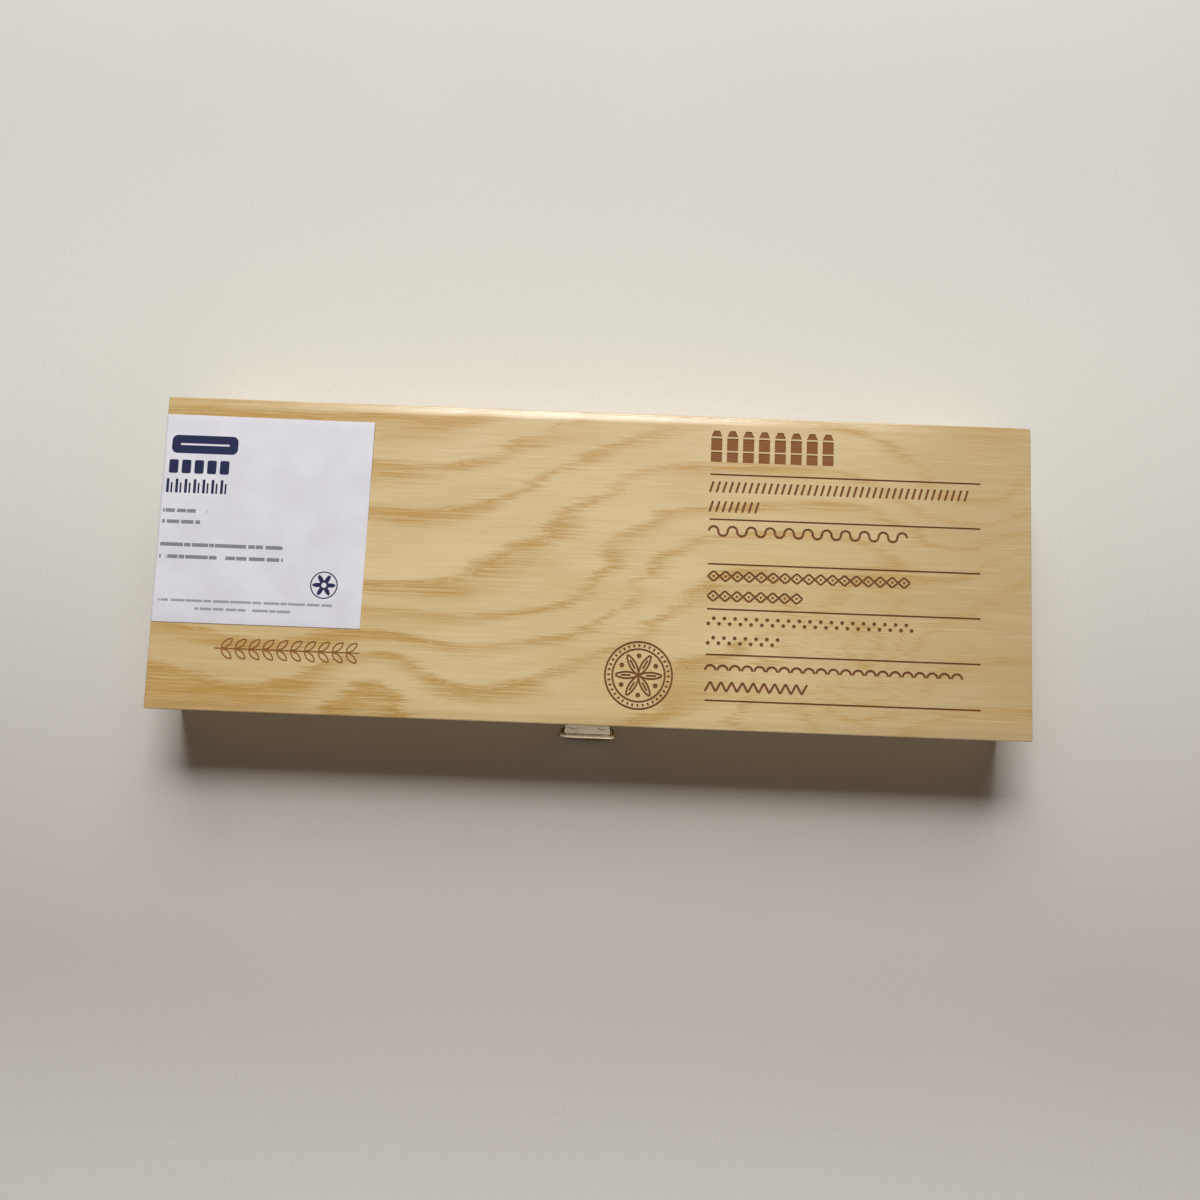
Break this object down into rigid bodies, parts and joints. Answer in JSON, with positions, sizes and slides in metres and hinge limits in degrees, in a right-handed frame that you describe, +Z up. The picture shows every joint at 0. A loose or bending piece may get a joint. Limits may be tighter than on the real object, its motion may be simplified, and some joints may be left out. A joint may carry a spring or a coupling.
{
  "type": "hinged wooden pastel stick case",
  "caption": "Shallow wooden case with a hinged lid, an over-centre wire latch and a slotted foam bed for one row of pastel sticks.",
  "frame": {"origin": "centre of the underside of the case, on the plane it rests on", "axes": "+X along the case, to the right for someone facing the latch; -Y towards that person, where the latch is; +Z up, out of the lid"},
  "size_m": [0.2802, 0.1093, 0.0322],
  "materials": {
    "board_wood": "pale solid softwood, satin clear lacquer",
    "panel_plywood": "pale plywood with a flame-figured face veneer, satin clear lacquer, burnt engraving on the lid",
    "foam": "pale grey soft closed-cell foam, matt",
    "plated_steel": "nickel-plated steel, softly polished",
    "label_paper": null
  },
  "bodies": {
    "tray": {"tray_front_board": "board_wood", "tray_rear_board": "board_wood", "tray_left_board": "board_wood", "tray_right_board": "board_wood", "bottom_panel": "panel_plywood", "foam_base": "foam", "foam_grid": "foam", "hinge_left_tray_leaf": "plated_steel", "hinge_right_tray_leaf": "plated_steel", "hinge_left_pin": "plated_steel", "hinge_right_pin": "plated_steel", "latch_base": "plated_steel", "latch_pivot_pin": "plated_steel"},
    "lid": {"lid_front_board": "board_wood", "lid_rear_board": "board_wood", "lid_left_board": "board_wood", "lid_right_board": "board_wood", "top_panel": "panel_plywood", "foam_pad": "foam", "hinge_left_lid_leaf": "plated_steel", "hinge_right_lid_leaf": "plated_steel", "latch_catch": "plated_steel", "paper_label": "label_paper"},
    "latch_lever": {"latch_lever": "plated_steel"},
    "latch_loop": {"latch_loop": "plated_steel"}
  },
  "joints": [
    {"name": "lid_hinge", "type": "hinge", "parent": "tray", "child": "lid", "pos_m": [0, 0.05225, 0.01915], "axis": [-1, 0, 0], "range_deg": [0, 180]},
    {"name": "lever_lift", "type": "hinge", "parent": "tray", "child": "latch_lever", "pos_m": [0, -0.0537, 0.0126], "axis": [-1, 0, 0], "range_deg": [0, 120]},
    {"name": "loop_swing", "type": "hinge", "parent": "latch_lever", "child": "latch_loop", "pos_m": [0, -0.05225, 0.0084], "axis": [-1, 0, 0], "range_deg": [-210, 0]}
  ],
  "couplings": [
    {"joint": "loop_swing", "follows": "lever_lift", "ratio": -1.75}
  ]
}
